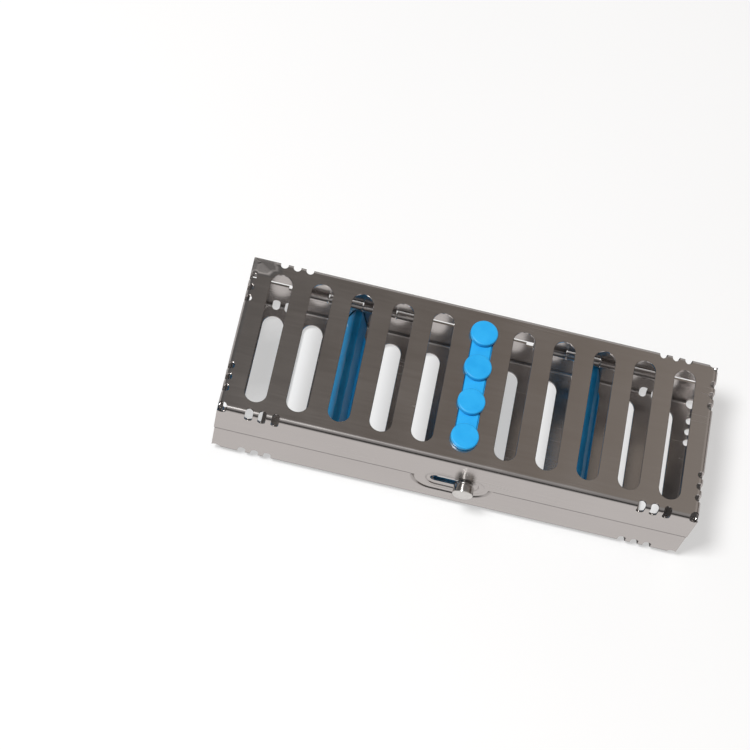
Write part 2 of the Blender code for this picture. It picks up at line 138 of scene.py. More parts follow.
# Silicone rails
DISC_RADIUS = 0.0052
DISC_PROUD = RAIL_HIGH.z - TOP_Z
DISC_PITCH = 0.0145
RAIL_GAP = 0.0002
NECK_WIDTH = 0.0076
NECK_RECESS = 0.0004
FLANGE_WIDTH = RAIL_HIGH.x - RAIL_LOW.x
FLANGE_LENGTH = RAIL_HIGH.y - RAIL_LOW.y
FLANGE_THICKNESS = 0.0012
RAIL_HEIGHT = TOP_Z - RAIL_LOW.z
RIDGE_FOOT_WIDTH = 0.0092
RIDGE_TOP_WIDTH = 0.0027
RIDGE_LENGTHS = {"base": 0.0622, "lid": 0.0576}
RIDGE_STATIONS = 161
CREST_RADIUS = 0.0006
RIDGE_END = 0.0005  # the crest drops by RIDGE_END_DROP over this much of each end
RIDGE_END_DROP = 0.0004
VALLEY_PITCH = 0.0125
VALLEY_DEPTH = 0.0007
VALLEY_REACH = 0.36  # of the pitch, either side of a valley's middle
FLANGE_ROUND = 0.0003
NECK_CHAMFER = 0.0002
DISC_ROUND = 0.0006
STEM_INSET = 0.0016

ALONG_Y = Matrix.Rotation(-math.pi / 2, 4, "X")
ALONG_X = Matrix.Rotation(math.pi / 2, 4, "Y")
UPSIDE_DOWN = Matrix.Rotation(math.pi, 4, "X")
QUARTER_TURN = Matrix.Rotation(math.pi / 2, 4, "Z")
BASE_PLACE = Matrix.Translation((0, CASE_Y, BASE_Z))
LID_PLACE = Matrix.Translation((0, CASE_Y, TOP_Z)) @ UPSIDE_DOWN


# ---------------------------------------------------------------- mesh tools


def new_object(name, bm, matrix=None):
    """A mesh object made from bm, with its vertices moved by matrix into the row frame."""
    bmesh.ops.transform(bm, matrix=matrix or Matrix(), verts=bm.verts)
    bmesh.ops.recalc_face_normals(bm, faces=bm.faces)
    mesh = bpy.data.meshes.new(name)
    bm.to_mesh(mesh)
    bm.free()
    obj = bpy.data.objects.new(name, mesh)
    bpy.context.scene.collection.objects.link(obj)
    return obj


def boolean(target, operation, shapes):
    """Joins or cuts target with the (bmesh, matrix) shapes, in one exact Boolean that is applied at once."""
    tool = new_object("tool", merged(shapes))
    modifier = target.modifiers.new("boolean", "BOOLEAN")
    modifier.operation = operation
    modifier.object = tool
    modifier.solver = "EXACT"
    apply_modifiers(target)
    bpy.data.objects.remove(tool)


def apply_modifiers(obj):
    graph = bpy.context.evaluated_depsgraph_get()
    mesh = bpy.data.meshes.new_from_object(obj.evaluated_get(graph))
    obj.modifiers.clear()
    old = obj.data
    obj.data = mesh
    bpy.data.meshes.remove(old)


def merged(shapes):
    """One bmesh that holds all the (bmesh, matrix) shapes."""
    whole = bmesh.new()
    for bm, matrix in shapes:
        bmesh.ops.transform(bm, matrix=matrix, verts=bm.verts)
        bmesh.ops.recalc_face_normals(bm, faces=bm.faces)
        mesh = bpy.data.meshes.new("piece")
        bm.to_mesh(mesh)
        bm.free()
        whole.from_mesh(mesh)
        bpy.data.meshes.remove(mesh)
    return whole


def smooth(obj, angle=35):
    """Smooth shading that stays flat on flat sheet."""
    obj.data.shade_smooth()
    obj.data.set_sharp_from_angle(angle=math.radians(angle))
    weighted = obj.modifiers.new("weighted", "WEIGHTED_NORMAL")
    weighted.keep_sharp = True
    weighted.weight = 100
    return obj


def box(size, centre=(0, 0, 0)):
    bm = bmesh.new()
    bmesh.ops.create_cube(bm, size=1, matrix=Matrix.Translation(centre) @ Matrix.Diagonal((*size, 1)))
    return bm


def stadium_outline(length, width, segments):
    """Points of a round-ended outline, long side along X. A circle is one whose length is its width."""
    for i in range(segments):
        angle = 2 * math.pi * (i + 0.5) / segments
        reach = width / 2 / math.cos(math.pi / segments)
        x = reach * math.cos(angle)
        yield x + math.copysign((length - width) / 2, x), reach * math.sin(angle)


def round_prism(length, width, levels, segments=32):
    """A closed round-ended solid. levels lists (z, how much the outline grows there)."""
    bm = bmesh.new()
    rings = []
    for z, grow in levels:
        outline = stadium_outline(length + 2 * grow, width + 2 * grow, segments)
        rings.append([bm.verts.new((x, y, z)) for x, y in outline])
    for lower, upper in zip(rings, rings[1:]):
        for i in range(segments):
            j = (i + 1) % segments
            bm.faces.new((lower[i], lower[j], upper[j], upper[i]))
    bm.faces.new(reversed(rings[0]))
    bm.faces.new(rings[-1])
    return bm


def turned(name, profile, axis_place, segments=64):
    """A solid of revolution. profile lists (radius, height) from one end of the axis to the other."""
    bm = bmesh.new()
    verts = [bm.verts.new((radius, 0, height)) for radius, height in profile]
    if profile[0][0] > 0:
        verts.append(verts[0])
    edges = [bm.edges.new(pair) for pair in zip(verts, verts[1:])]
    bmesh.ops.spin(
        bm, geom=list(bm.verts) + edges, axis=(0, 0, 1), cent=(0, 0, 0), angle=2 * math.pi,
        steps=segments, use_merge=True,
    )
    bmesh.ops.remove_doubles(bm, verts=bm.verts, dist=1e-7)
    return new_object(name, bm, axis_place)


# ---------------------------------------------------------------- folded trays


def folded_block(length, width, height, radius):
    bm = box((length, width, height), (0, 0, height / 2))
    low = [edge for edge in bm.edges if all(vert.co.z < height / 2 for vert in edge.verts)]
    bmesh.ops.bevel(bm, geom=low, offset=radius, segments=BEND_SEGMENTS, profile=0.5, affect="EDGES")
    return bm


def plate_levels():
    """Through a plate that lies from z = 0 to z = SHEET, with a broken edge at each face."""
    outer_face = [(-PAST, EDGE + PAST), (0, EDGE), (EDGE, 0)]
    inner_face = [(SHEET - EDGE, 0), (SHEET, EDGE), (SHEET + PAST, EDGE + PAST)]
    return outer_face + inner_face


def slot_shapes():
    for i in range(SLOT_COUNT):
        middle = Matrix.Translation(((i - (SLOT_COUNT - 1) / 2) * SLOT_PITCH, 0, 0))
        yield round_prism(SLOT_LENGTH, SLOT_WIDTH, plate_levels(), 48), middle @ QUARTER_TURN


def notch_places(length):
    """Where the bends are pierced, three times near each end of each edge: +Y is inward, z = 0 the plate."""
    edges = [(turn, WIDTH / 2, LONG_EDGE_NOTCHES) for turn in (0, math.pi)]
    edges += [(turn, length / 2, SHORT_EDGE_NOTCHES) for turn in (math.pi / 2, -math.pi / 2)]
    for turn, reach, places in edges:
        for place in places:
            for side in (-1, 1):
                yield Matrix.Rotation(turn, 4, "Z") @ Matrix.Translation((side * place, -reach, 0))


def plate_notch_shapes(length):
    """The upright, round-ended cuts through the plate and its bends."""
    run = NOTCH_ON_PLATE + 2 * PAST
    middle = Matrix.Translation((0, NOTCH_ON_PLATE - run / 2, 0)) @ QUARTER_TURN
    for place in notch_places(length):
        yield round_prism(run, NOTCH_WIDTH, [(-PAST, 0), (1.1 * BEND_RADIUS, 0)], 24), place @ middle


def wall_notch_shapes(length):
    """The level, round-ended cuts that carry the notches down the walls."""
    run = NOTCH_ON_WALL + PAST
    width = NOTCH_WIDTH - NOTCH_STEP
    middle = Matrix.Translation((0, 0, NOTCH_ON_WALL - run / 2)) @ ALONG_Y @ QUARTER_TURN
    for place in notch_places(length):
        yield round_prism(run, width, [(-PAST, 0), (BEND_RADIUS / 2, 0)], 24), place @ middle


def relief_shapes(length):
    """Round bites where three faces meet."""
    in_x, in_y, in_z = RELIEF_INWARD
    for sx in (-1, 1):
        for sy in (-1, 1):
            ball = bmesh.new()
            bmesh.ops.create_uvsphere(ball, u_segments=31, v_segments=18, radius=RELIEF_RADIUS)
            yield ball, Matrix.Translation((sx * (length / 2 - in_x), sy * (WIDTH / 2 - in_y), in_z))


def seam_shapes(length):
    """The thin open seams between the end walls and the long walls."""
    for sx in (-1, 1):
        for sy in (-1, 1):
            x = sx * (length / 2 - SHEET / 2 + PAST / 2)
            y = sy * (WIDTH / 2 - SHEET - SEAM_GAP / 2)
            size = (SHEET + PAST + SEAM_GAP, SEAM_GAP, TRAY_HEIGHT + PAST)
            yield box(size, (x, y, size[2] / 2 + RELIEF_RADIUS)), Matrix()


def placed(shapes, place):
    return [(bm, place @ matrix) for bm, matrix in shapes]


def tray(name, length, place, extra_height):
    """A folded tray with its slots, notches, reliefs and seams, drawn plate down and then put at place."""
    height = TRAY_HEIGHT + extra_height
    shell = new_object(name, folded_block(length, WIDTH, height, BEND_RADIUS), place)
    inner = folded_block(length - 2 * SHEET, WIDTH - 2 * SHEET, height, BEND_RADIUS - SHEET)
    boolean(shell, "DIFFERENCE", placed([(inner, Matrix.Translation((0, 0, SHEET)))], place))
    cuts = [slot_shapes(), plate_notch_shapes(length), wall_notch_shapes(length)]
    cuts += [relief_shapes(length), seam_shapes(length)]
    for shapes in cuts:
        boolean(shell, "DIFFERENCE", placed(shapes, place))
    return shell


def bend_normal(point, half, sign):
    """The normal at a point of a bend in its tray's own frame, or None. sign is 1 outside and -1 inside."""
    radius = BEND_RADIUS if sign > 0 else BEND_RADIUS - SHEET
    lift = BEND_RADIUS - point.z
    for axis in (0, 1):
        run = BEND_RADIUS - half[axis] + abs(point[axis])
        reach = math.hypot(run, lift)
        if min(run, lift) > -BEND_TOLERANCE and abs(reach - radius) < BEND_TOLERANCE:
            normal = Vector((0, 0, -sign * lift / reach))
            normal[axis] = math.copysign(sign * run / reach, sign * point[axis])
            return normal
    return None


def sheet_normal(face_centre, normal, half):
    """The exact normal of a face that lies in one of the sheet's flat planes, or None."""
    axis = max(range(3), key=lambda i: abs(normal[i]))
    if abs(normal[axis]) < 0.9999:
        return None
    depth = face_centre.z if axis == 2 else half[axis] - abs(face_centre[axis])
    if min(abs(depth), abs(depth - SHEET)) > BEND_TOLERANCE:
        return None
    exact = Vector((0, 0, 0))
    exact[axis] = math.copysign(1, normal[axis])
    return exact


def fold_normals(shell, place, length):
    """Shades flat sheet flat and each bend as a quarter round, however the cuts have split their faces."""
    mesh = shell.data
    mesh.shade_smooth()
    mesh.set_sharp_from_angle(angle=math.radians(35))
    into_tray = place.inverted()
    turn = place.to_3x3()
    half = (length / 2, WIDTH / 2)
    loop_normals = [Vector((0, 0, 0))] * len(mesh.loops)  # a zero leaves the shading to Blender
    for face in mesh.polygons:
        face_normal = into_tray.to_3x3() @ face.normal
        flat = sheet_normal(into_tray @ face.center, face_normal, half)
        points = [into_tray @ mesh.vertices[i].co for i in face.vertices]
        found = [flat] * len(points)
        for sign in (1, -1):
            if None in found:
                found = [bend_normal(point, half, sign) for point in points]
        if None in found or face_normal.dot(found[0]) < 0.8:
            continue
        for loop, normal in zip(face.loop_indices, found):
            loop_normals[loop] = turn @ normal
    mesh.normals_split_custom_set(loop_normals)


def front_round(length, height, levels, x=0.0, segments=48):
    """A round-ended solid through the front wall. Its levels run from the wall's outer face inwards."""
    return round_prism(length, height, levels, segments), Matrix.Translation((x, FRONT_Y, LATCH_Z)) @ ALONG_Y


def all_but_tongue(low, high, length, height):
    """A cutter from z = low to z = high that spares a round-ended tongue of the front wall."""
    size = (LENGTH + 4 * PAST, WIDTH + 4 * PAST, high - low)
    block = new_object("block", box(size, (0, CASE_Y, (low + high) / 2)))
    boolean(block, "DIFFERENCE", [front_round(length, height, [(-4 * PAST, 0), (4 * PAST, 0)])])
    bm = bmesh.new()
    bm.from_mesh(block.data)
    bpy.data.objects.remove(block)
    return bm, Matrix()


def on_hinge_axis(start):
    return Matrix.Translation((start, HINGE.y, HINGE.z)) @ ALONG_X


def knuckle(start, end):
    length = end - start
    levels = [(0, -KNUCKLE_CHAMFER), (KNUCKLE_CHAMFER, 0)]
    levels += [(length - KNUCKLE_CHAMFER, 0), (length, -KNUCKLE_CHAMFER)]
    return round_prism(2 * KNUCKLE_RADIUS, 2 * KNUCKLE_RADIUS, levels, 40), on_hinge_axis(start)


def hinge_bore(start):
    levels = [(-PAST, 0), (KNUCKLE_COUNT * KNUCKLE_WIDTH + PAST, 0)]
    return round_prism(2 * BORE_RADIUS, 2 * BORE_RADIUS, levels), on_hinge_axis(start)


def hinge_spans(owner):
    """The lid has the first and the third knuckle of each hinge, and the base has the others."""
    for start in HINGE_STARTS:
        for i in range(KNUCKLE_COUNT):
            if (i % 2 == 1) == (owner == "base"):
                yield start + i * KNUCKLE_WIDTH, start + (i + 1) * KNUCKLE_WIDTH


def back_edge_gaps(owner):
    """Start and end in X of what is cut from the edge of owner's back wall.

    The lid keeps only the tongues that carry its knuckles. The base is cut only under the lid's knuckles.
    """
    if owner == "base":
        rooms = [END_ROOM, TONGUE_INSET] * len(HINGE_STARTS)
        return [(a - room, b + TONGUE_INSET) for (a, b), room in zip(hinge_spans("lid"), rooms)]
    ends = [-LENGTH]
    for a, b in hinge_spans("lid"):
        ends += [a + TONGUE_INSET, b - TONGUE_INSET]
    ends.append(LENGTH)
    return list(zip(ends[::2], ends[1::2]))


def add_knuckles(shell, owner):
    """Trims the back wall's edge, then rolls this tray's own knuckles from what is left of it."""
    depth = HINGE_INSET + CORNER_ROOM + PAST
    half_gap = KNUCKLE_GAP / 2
    gaps = []
    for a, b in back_edge_gaps(owner):
        centre = Matrix.Translation(((a + b) / 2, BACK_Y + PAST - depth / 2, PART_Z))
        gaps.append((box((b - a, depth, 2 * BACK_GAP)), centre))
    boolean(shell, "DIFFERENCE", gaps)
    boolean(shell, "UNION", [knuckle(a + half_gap, b - half_gap) for a, b in hinge_spans(owner)])
    boolean(shell, "DIFFERENCE", [hinge_bore(start) for start in HINGE_STARTS])


def latch_run(width, depth):
    """The round-ended run of the button's shank through the front wall."""
    length = LATCH_TRAVEL + width
    return front_round(length, width, [(-PAST, 0), (depth, 0)], BUTTON_X - LATCH_TRAVEL / 2, 32)


def pressed(depth, wide, narrow=0.0, steps=6):
    """Levels of a pressing that sinks in an S curve from wide at the sheet's face to narrow at its floor."""
    yield -PAST, wide
    for i in range(steps + 1):
        share = i / steps
        yield depth * (1 - math.cos(math.pi * share)) / 2, wide + (narrow - wide) * share


def make_base():
    shell = tray("base_tray", BASE_LENGTH, BASE_PLACE, PAST)
    pad_edge = POCKET_MARGIN + SHEET
    pad_levels = [(SHEET / 2, pad_edge), (POCKET_DEPTH + SHEET, pad_edge - PAD_SLOPE)]
    boolean(shell, "UNION", [front_round(LOBE_LENGTH, LOBE_HEIGHT, pad_levels)])
    pocket_levels = list(pressed(POCKET_DEPTH, POCKET_MARGIN))
    boolean(shell, "DIFFERENCE", [front_round(LOBE_LENGTH, LOBE_HEIGHT, pocket_levels)])
    edge = PART_Z - PART_GAP / 2
    boolean(shell, "DIFFERENCE", [all_but_tongue(edge, TOP_Z, TAB_LENGTH, TAB_HEIGHT)])
    boolean(shell, "DIFFERENCE", [latch_run(BASE_SLOT_WIDTH, POCKET_DEPTH + 2 * SHEET)])
    entry_place = (BUTTON_X, FRONT_Y + POCKET_DEPTH + SHEET / 2, LATCH_Z + TAB_HEIGHT / 2)
    boolean(shell, "DIFFERENCE", [(box((BASE_SLOT_WIDTH, 4 * SHEET, TAB_HEIGHT), entry_place), Matrix())])
    add_knuckles(shell, "base")
    fold_normals(shell, BASE_PLACE, BASE_LENGTH)
    return shell


def make_lid():
    shell = tray("lid_tray", LENGTH, LID_PLACE, LOBE_HEIGHT)
    edge = PART_Z + PART_GAP / 2
    boolean(shell, "DIFFERENCE", [all_but_tongue(BASE_Z - 2 * PAST, edge, LOBE_LENGTH, LOBE_HEIGHT)])
    pad_levels = [(SHEET / 2, DISH_EDGE + DISH_PAD), (SHEET, DISH_EDGE), (SHEET + DISH_DEPTH, 0)]
    boolean(shell, "UNION", [front_round(DISH_LENGTH, DISH_HEIGHT, pad_levels, DISH_X)])
    rim_size = (DISH_LENGTH + 2 * RIM_MARGIN, DISH_HEIGHT + 2 * RIM_MARGIN)
    rim = front_round(*rim_size, list(pressed(RIM_DEPTH, 3 * RIM_DEPTH)), DISH_X + RIM_X)
    boolean(shell, "DIFFERENCE", [rim])
    dish_levels = list(pressed(DISH_DEPTH, DISH_EDGE, -DISH_EDGE))
    boolean(shell, "DIFFERENCE", [front_round(DISH_LENGTH, DISH_HEIGHT, dish_levels, DISH_X)])
    boolean(shell, "DIFFERENCE", [latch_run(LATCH_SLOT_WIDTH, 3 * SHEET)])
    add_knuckles(shell, "lid")
    fold_normals(shell, LID_PLACE, LENGTH)
    return shell


# ---------------------------------------------------------------- silicone rails


def ridge_section(crest):
    """Points (x, z) of the ridge's section, up one side and down the other, with a rounded crest."""
    foot_z = SHEET + RAIL_GAP + FLANGE_THICKNESS / 4
    half_foot = RIDGE_FOOT_WIDTH / 2
    slope = (half_foot - RIDGE_TOP_WIDTH / 2) / (RAIL_HEIGHT - foot_z)
    half_top = RIDGE_TOP_WIDTH / 2 + (RAIL_HEIGHT - crest) * slope
    side = [(half_foot, foot_z)]
    for i in range(5):
        share = 0.15 + 0.7 * i / 4
        side.append((half_foot + (half_top - half_foot) * share, foot_z + (crest - foot_z) * share))
    for turn in quarter(5):
        x = half_top - CREST_RADIUS * (1 - math.cos(turn))
        side.append((x, crest - CREST_RADIUS * (1 - math.sin(turn))))
    return side + [(-x, z) for x, z in reversed(side)]


def ridge(length):
    """The ridge, whose crest dips at each of its valleys and rounds off at its ends."""
    bm = bmesh.new()
    rings = []
    for i in range(RIDGE_STATIONS):
        y = (i / (RIDGE_STATIONS - 1) - 0.5) * length
        phase = (y / VALLEY_PITCH + 0.5) % 1 - 0.5  # 0 in the middle of a valley
        dip = math.cos(math.pi * min(abs(phase) / VALLEY_REACH, 1) / 2) ** 1.5
        end = max(abs(y) - (length / 2 - RIDGE_END), 0) / RIDGE_END
        crest = RAIL_HEIGHT - VALLEY_DEPTH * dip - RIDGE_END_DROP * end ** 2
        rings.append([bm.verts.new((x, y, z)) for x, z in ridge_section(crest)])
    for first, second in zip(rings, rings[1:]):
        count = len(first)
        for i in range(count):
            j = (i + 1) % count
            bm.faces.new((first[i], first[j], second[j], second[i]))
    bm.faces.new(rings[0])
    bm.faces.new(reversed(rings[-1]))
    return bm


def rail(name, node, body, x, place):
    """A silicone rail: a ridge inside the tray, a neck through the slot and four discs outside."""
    here = place @ Matrix.Translation((x, 0, 0))
    piece = new_object(name, ridge(RIDGE_LENGTHS[body]), here)
    foot_z = SHEET + RAIL_GAP
    flange_top = foot_z + FLANGE_THICKNESS
    flange_levels = [(foot_z, 0), (flange_top - FLANGE_ROUND, 0), (flange_top, -FLANGE_ROUND)]
    flange = round_prism(FLANGE_LENGTH, FLANGE_WIDTH, flange_levels)
    neck_levels = [(NECK_RECESS, -NECK_CHAMFER), (NECK_RECESS + NECK_CHAMFER, 0)]
    neck_levels.append((foot_z + FLANGE_THICKNESS / 2, 0))
    neck_length = SLOT_LENGTH - (SLOT_WIDTH - NECK_WIDTH)
    neck = round_prism(neck_length, NECK_WIDTH, neck_levels, 64)
    boolean(piece, "UNION", placed([(flange, QUARTER_TURN)], here))
    boolean(piece, "UNION", placed([(neck, QUARTER_TURN)], here))
    boolean(piece, "UNION", placed(disc_shapes(foot_z), here))
    smooth(piece, 40)
    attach(piece, body)
    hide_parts(node)
    return piece


def disc_shapes(foot_z):
    """The four discs with softly rounded rims, each on a stem through the slot."""
    levels = []
    for turn in quarter(5):
        levels.append((-DISC_PROUD + DISC_ROUND * (1 - math.cos(turn)), DISC_ROUND * (math.sin(turn) - 1)))
    levels += [(-RAIL_GAP - NECK_CHAMFER, 0), (-RAIL_GAP, -NECK_CHAMFER)]
    levels += [(-RAIL_GAP + 0.00001, -STEM_INSET), (foot_z + FLANGE_THICKNESS / 3, -STEM_INSET)]
    for i in range(4):
        y = (i - 1.5) * DISC_PITCH
        yield round_prism(2 * DISC_RADIUS, 2 * DISC_RADIUS, levels, 64), Matrix.Translation((0, y, 0))


def quarter(steps):
    """Angles from 0 to a right angle."""
    return [math.pi / 2 * i / steps for i in range(steps + 1)]


# ---------------------------------------------------------------- latch and pins


def rounded_profile(corners, radius, steps=4):
    """The corners (radius, height) of a turned profile, with each sharp one cut to a small arc."""
    points = [corners[0]]
    for before, corner, after in zip(corners, corners[1:], corners[2:]):
        here = Vector(corner)
        into = (Vector(before) - here).normalized() * radius
        out = (Vector(after) - here).normalized() * radius
        for i in range(steps + 1):
            t = i / steps
            points.append(tuple(here + into * (1 - t) ** 2 + out * t ** 2))
    points.append(corners[-1])
    return points


def latch_axis(y):
    return Matrix.Translation((BUTTON_X, y, LATCH_Z)) @ ALONG_Y


def make_latch():
    length = BUTTON_HIGH.y - BUTTON_LOW.y
    radius = (BUTTON_HIGH.x - BUTTON_LOW.x) / 2
    head = WASHER_LOW.y - PART_GAP - BUTTON_LOW.y
    corners = [(0, 0), (radius, 0), (radius, head)]
    corners += [(SHANK_RADIUS, head), (SHANK_RADIUS, length), (0, length)]
    button = turned("button", rounded_profile(corners, BUTTON_ROUND), latch_axis(BUTTON_LOW.y), 96)
    pieces = [(button, "latch_button")]
    for name, node, low, high in (
        ("button_washer", "latch_washer", WASHER_LOW, WASHER_HIGH),
        ("button_collar", "latch_retainer", RETAINER_LOW, RETAINER_HIGH),
    ):
        thickness = high.y - low.y
        outer = (high.x - low.x) / 2
        inner = SHANK_RADIUS + SHANK_FIT
        start = (inner, thickness / 2)
        ring = [start, (inner, 0), (outer, 0), (outer, thickness), (inner, thickness), start]
        profile = rounded_profile(ring, RING_ROUND)[:-1]
        pieces.append((turned(name, profile, latch_axis(low.y), 64), node))
    for piece, node in pieces:
        smooth(piece, 50)
        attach(piece, "latch")
        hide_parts(node)
    return [piece for piece, node in pieces]


def make_pins():
    pins = []
    for node, (low, high) in PIN_BOXES.items():
        length = high.x - low.x
        corners = [(0, 0), (PIN_RADIUS, 0), (PIN_RADIUS, length), (0, length)]
        place = on_hinge_axis(low.x)
        pin = turned(node.replace("hinge_pin", "pin"), rounded_profile(corners, PIN_ROUND), place, 32)
        smooth(pin, 50)
        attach(pin, "base")
        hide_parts(node)
        pins.append(pin)
    return pins


# ---------------------------------------------------------------- materials


def colour_ramp(tree, value, stops):
    """The colour that value picks from stops, which lists (place, colour)."""
    ramp = tree.nodes.new("ShaderNodeValToRGB")
    elements = ramp.color_ramp.elements
    while len(elements) < len(stops):
        elements.new(0.5)
    for element, (place, colour) in zip(elements, stops):
        element.position = place
        element.color = (*colour, 1)
    tree.links.new(value, ramp.inputs["Fac"])
    return ramp.outputs["Color"]


def shader_math(tree, operation, first, second):
    """The result of a Math node. first and second are numbers or sockets."""
    node = tree.nodes.new("ShaderNodeMath")
    node.operation = operation
    for socket, value in zip(node.inputs, (first, second)):
        if isinstance(value, (int, float)):
            socket.default_value = value
        else:
            tree.links.new(value, socket)
    return node.outputs["Value"]


class Nodes:
    """Short names for adding and linking shader nodes."""

    def __init__(self, name):
        self.material = bpy.data.materials.new(name)
        self.material.use_nodes = True
        self.tree = self.material.node_tree
        self.shader = self.tree.nodes["Principled BSDF"]
        self.coords = self.tree.nodes.new("ShaderNodeTexCoord").outputs["Object"]

    def add(self, kind, **values):
        node = self.tree.nodes.new("ShaderNode" + kind)
        for key, value in values.items():
            if key in node.inputs:
                node.inputs[key].default_value = value
            else:
                setattr(node, key, value)
        return node

    def link(self, output, socket):
        self.tree.links.new(output, socket)

    def noise(self, scale, stretch=(1, 1, 1), detail=4.0, turn=(0, 0, 0)):
        mapping = self.add("Mapping")
        mapping.inputs["Scale"].default_value = stretch
        mapping.inputs["Rotation"].default_value = turn
        self.link(self.coords, mapping.inputs["Vector"])
        noise = self.add("TexNoise", Scale=scale, Detail=detail)
        self.link(mapping.outputs["Vector"], noise.inputs["Vector"])
        return noise.outputs["Fac"]

    def span(self, value, low, high, out_low, out_high):
        """Maps value from low..high to out_low..out_high, and no further."""
        node = self.add("MapRange")
        ends = {"From Min": low, "From Max": high, "To Min": out_low, "To Max": out_high}
        for socket, number in ends.items():
            node.inputs[socket].default_value = number
        self.link(value, node.inputs["Value"])
        return node.outputs["Result"]

    def math(self, operation, first, second=0):
        return shader_math(self.tree, operation, first, second)

    def ramp(self, value, stops):
        return colour_ramp(self.tree, value, stops)

    def set(self, name, value):
        if isinstance(value, bpy.types.NodeSocket):
            self.link(value, self.shader.inputs[name])
        else:
            self.shader.inputs[name].default_value = value

    def bump(self, height, strength, distance):
        node = self.add("Bump", Strength=strength, Distance=distance)
        self.link(height, node.inputs["Height"])
        self.link(node.outputs["Normal"], self.shader.inputs["Normal"])


def brushed_steel(name, along):
    """Cold-rolled stainless sheet with a fine grain along one axis, faint scratches and handling smears."""
    n = Nodes(name)
    stretch = [1, 1, 1]
    stretch["XYZ".index(along)] = 0.02
    grain = n.noise(5200, stretch, 3.0)
    streak = n.noise(900, stretch, 2.0)
    smear = n.noise(38, (1, 1, 1), 3.0)
    scratch_a = n.noise(150, (0.03, 1, 1), 1.0, (0, 0, math.radians(24)))
    scratch_b = n.noise(190, (0.03, 1, 1), 1.0, (0, 0, math.radians(-57)))
    line_a = n.span(n.math("ABSOLUTE", n.math("SUBTRACT", scratch_a, 0.62)), 0.0, 0.003, 1.0, 0.0)
    line_b = n.span(n.math("ABSOLUTE", n.math("SUBTRACT", scratch_b, 0.64)), 0.0, 0.002, 1.0, 0.0)
    scratches = n.math("MULTIPLY", n.math("MAXIMUM", line_a, line_b), n.span(smear, 0.52, 0.62, 0.0, 1.0))
    mixed = n.math("ADD", n.math("MULTIPLY", grain, 0.6), n.math("MULTIPLY", streak, 0.4))
    n.set("Base Color", n.ramp(mixed, [(0.25, (0.480, 0.457, 0.446)), (0.75, (0.520, 0.495, 0.482))]))
    rough = n.math("ADD", n.span(mixed, 0.3, 0.7, 0.20, 0.25), n.span(smear, 0.35, 0.7, -0.02, 0.03))
    n.set("Roughness", n.math("ADD", rough, n.math("MULTIPLY", scratches, 0.12)))
    n.set("Metallic", 1.0)
    height = n.math("SUBTRACT", mixed, n.math("MULTIPLY", scratches, 0.8))
    n.bump(height, 0.08, 0.00002)
    return n.material


RING_TURNS = 42000  # of the fine turned rings, in radians per metre


def polished_steel():
    """Turned and polished stainless, with fine rings about the button's axis."""
    n = Nodes("polished_stainless")
    separate = n.add("SeparateXYZ")
    n.link(n.coords, separate.inputs["Vector"])
    dx = n.math("SUBTRACT", separate.outputs["X"], BUTTON_X)
    dz = n.math("SUBTRACT", separate.outputs["Z"], LATCH_Z)
    reach = n.math("SQRT", n.math("ADD", n.math("MULTIPLY", dx, dx), n.math("MULTIPLY", dz, dz)))
    rings = n.math("SINE", n.math("MULTIPLY", reach, RING_TURNS))
    wear = n.noise(420, (1, 1, 1), 4.0)
    n.set("Base Color", n.ramp(wear, [(0.3, (0.60, 0.59, 0.575)), (0.7, (0.72, 0.71, 0.695))]))
    n.set("Roughness", n.span(wear, 0.3, 0.7, 0.10, 0.22))
    n.set("Metallic", 1.0)
    n.bump(n.math("ADD", n.math("MULTIPLY", rings, 0.3), wear), 0.10, 0.00001)
    return n.material


def blue_silicone():
    """Satin moulded silicone: a faint matt texture, slight cloudiness and a soft sheen."""
    n = Nodes("blue_silicone")
    cloud = n.noise(160, (1, 1, 1), 3.0)
    fine = n.noise(2600, (1, 1, 1), 3.0)
    n.set("Base Color", n.ramp(cloud, [(0.3, (0.012, 0.330, 0.720)), (0.7, (0.024, 0.390, 0.790))]))
    n.set("Roughness", n.span(fine, 0.3, 0.7, 0.34, 0.46))
    n.set("Specular IOR Level", 0.35)
    n.set("Subsurface Weight", 0.05)
    n.set("Subsurface Radius", (0.0006, 0.0014, 0.0022))
    n.bump(fine, 0.12, 0.00002)
    return n.material


def paint_tray(tray_object, grain_x, grain_z):
    """The sheet's grain runs along X, and so up and down on the two end walls."""
    tray_object.data.materials.clear()
    tray_object.data.materials.append(grain_x)
    tray_object.data.materials.append(grain_z)
    for face in tray_object.data.polygons:
        face.material_index = 1 if abs(face.normal.x) > 0.75 else 0


def paint(pieces, material):
    for piece in pieces:
        piece.data.materials.clear()
        piece.data.materials.append(material)


# ---------------------------------------------------------------- studio

KEY_PLACE = (-0.53, -0.30, 1.37)
KEY_SIZE = 0.35
KEY_POWER = 22
CAMERA_LENS = 105.78
CAMERA_FROM_LID = (-0.06955, -0.37482, 0.71999)  # from the middle of the lid's plate
CAMERA_TURN = (26.148, -8.042, 10.825)  # in degrees


def make_floor():
    bm = bmesh.new()
    bmesh.ops.create_grid(bm, x_segments=1, y_segments=1, size=3)
    floor = new_object("floor", bm, Matrix.Translation((0, 0, -0.0001)))
    n = Nodes("studio_floor")
    tone = n.noise(3, (1, 1, 1), 2.0)
    n.set("Base Color", n.ramp(tone, [(0.3, (0.42, 0.42, 0.42)), (0.7, (0.44, 0.44, 0.44))]))
    n.set("Roughness", 0.8)
    n.set("Specular IOR Level", 0.2)
    n.set("Emission Color", (1, 1, 1, 1))
    n.set("Emission Strength", 0.48)
    floor.data.materials.append(n.material)
    floor.visible_glossy = False  # the steel mirrors the studio, which holds a pale floor of its own


